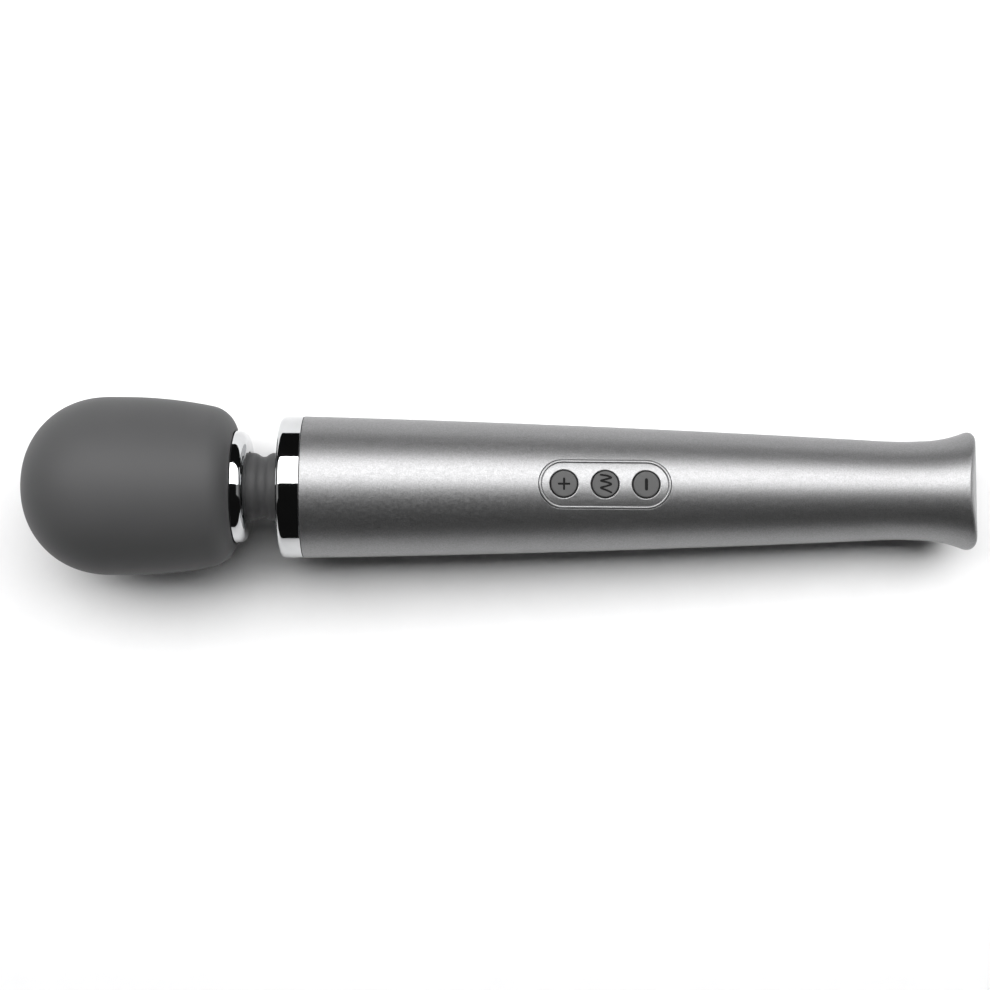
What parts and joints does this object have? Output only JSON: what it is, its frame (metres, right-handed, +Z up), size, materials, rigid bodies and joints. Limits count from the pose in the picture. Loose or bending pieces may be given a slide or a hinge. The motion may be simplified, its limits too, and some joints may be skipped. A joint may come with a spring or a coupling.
{
  "type": "handheld wand massager",
  "caption": "Cordless wand massager with a soft round head on a flexible neck, chrome rings and a tapered silver handle with three round buttons.",
  "frame": {"origin": "on the floor under the middle of the wand, which lies on its head and the rim of its tail", "axes": "+X from the head towards the tail, +Z up with the buttons on top, +Y to the wand's left seen from the tail"},
  "size_m": [0.3382, 0.0628, 0.0632],
  "materials": {
    "soft_cover": "matte dark grey silicone, velvet touch",
    "bright_trim": "bright chrome plate",
    "silver_shell": "fine silver metallic paint, satin",
    "end_cap": "satin grey plastic",
    "key_rubber": "matte grey rubber",
    "black_rubber": "matte black",
    "housing_plastic": "black nylon, fine texture",
    "white_plastic": "natural nylon",
    "bearing_steel": "ground steel",
    "spring_steel": "drawn spring wire",
    "weight_steel": "machined steel",
    "motor_steel": "zinc-plated can",
    "magnet": "sintered ferrite",
    "laminations": "stacked steel sheets",
    "copper": "enamelled copper wire",
    "brass": "turned brass",
    "carbon": "pressed carbon",
    "screw_steel": "black zinc screws",
    "cell_wrap": "green heat-shrink sleeve",
    "nickel": "nickel strip",
    "board_green": "green solder mask",
    "chip_black": "moulded epoxy",
    "red_insulation": "red insulated lead",
    "black_insulation": "black insulated lead"
  },
  "bodies": {
    "handle": {"collar": "bright_trim", "collar_gasket": "black_rubber", "front_bulkhead": "housing_plastic", "motor_can": "motor_steel", "motor_end_bell": "white_plastic", "motor_magnets": "magnet", "motor_terminals": "nickel", "motor_brushes": "carbon", "motor_retainer": "housing_plastic", "retainer_screws": "screw_steel", "handle_shell": "silver_shell", "end_cap": "end_cap", "tail_gasket": "black_rubber", "end_cap_o_ring": "black_rubber", "control_panel": "silver_shell", "tact_switches": "chip_black", "chassis": "housing_plastic", "cell_cover": "housing_plastic", "battery_cell_1": "cell_wrap", "battery_cell_2": "cell_wrap", "cell_tabs": "nickel", "main_board": "board_green", "board_parts": "chip_black", "charge_board": "board_green", "charge_jack": "housing_plastic", "jack_pin": "nickel", "motor_leads": "red_insulation", "charge_leads": "black_insulation", "cell_leads": "red_insulation", "small_screws": "screw_steel"},
    "neck_link": {"neck_boot": "soft_cover", "neck_spring": "spring_steel", "flex_shaft": "spring_steel"},
    "head": {"head_cover": "soft_cover", "head_core_front": "housing_plastic", "head_core_rear": "housing_plastic", "head_ring": "bright_trim", "head_screws": "screw_steel", "front_bearing_outer_race": "bearing_steel", "front_bearing_balls": "bearing_steel", "rear_bearing_outer_race": "bearing_steel", "rear_bearing_balls": "bearing_steel"},
    "eccentric": {"eccentric_shaft": "bearing_steel", "eccentric_weight": "weight_steel", "weight_screw": "screw_steel", "head_coupling": "brass", "front_bearing_inner_race": "bearing_steel", "rear_bearing_inner_race": "bearing_steel"},
    "motor_rotor": {"motor_shaft": "bearing_steel", "armature": "laminations", "windings": "copper", "commutator": "copper", "motor_coupling": "brass"},
    "plus_key": {"button_plus": "key_rubber", "switch_plunger_plus": "white_plastic"},
    "mode_key": {"button_mode": "key_rubber", "switch_plunger_mode": "white_plastic"},
    "minus_key": {"button_minus": "key_rubber", "switch_plunger_minus": "white_plastic"}
  },
  "joints": [
    {"name": "neck_pitch", "type": "hinge", "parent": "handle", "child": "neck_link", "pos_m": [-0.08517, 0, 0.02961], "axis": [0, 1, 0], "range_deg": [-12, 12], "stiffness_Nm_per_rad": 12, "deforming": ["neck_boot", "neck_spring", "flex_shaft"]},
    {"name": "neck_yaw", "type": "hinge", "parent": "neck_link", "child": "head", "pos_m": [-0.08517, 0, 0.02961], "axis": [0.0406, 0, 0.9992], "range_deg": [-12, 12], "stiffness_Nm_per_rad": 12, "deforming": ["neck_boot", "neck_spring", "flex_shaft"]},
    {"name": "eccentric_spin", "type": "hinge", "parent": "head", "child": "eccentric", "pos_m": [-0.12914, 0, 0.0314], "axis": [0.9992, 0, -0.0406], "continuous": true},
    {"name": "motor_spin", "type": "hinge", "parent": "handle", "child": "motor_rotor", "pos_m": [-0.0542, 0, 0.02835], "axis": [0.9992, 0, -0.0406], "continuous": true},
    {"name": "plus_press", "type": "slide", "parent": "handle", "child": "plus_key", "axis": [-0.0406, 0, -0.9992], "range_m": [0, 0.0006], "stiffness_N_per_m": 1500},
    {"name": "mode_press", "type": "slide", "parent": "handle", "child": "mode_key", "axis": [-0.0406, 0, -0.9992], "range_m": [0, 0.0006], "stiffness_N_per_m": 1500},
    {"name": "minus_press", "type": "slide", "parent": "handle", "child": "minus_key", "axis": [-0.0406, 0, -0.9992], "range_m": [0, 0.0006], "stiffness_N_per_m": 1500}
  ],
  "couplings": [
    {"joint": "motor_spin", "follows": "eccentric_spin", "ratio": 1}
  ]
}
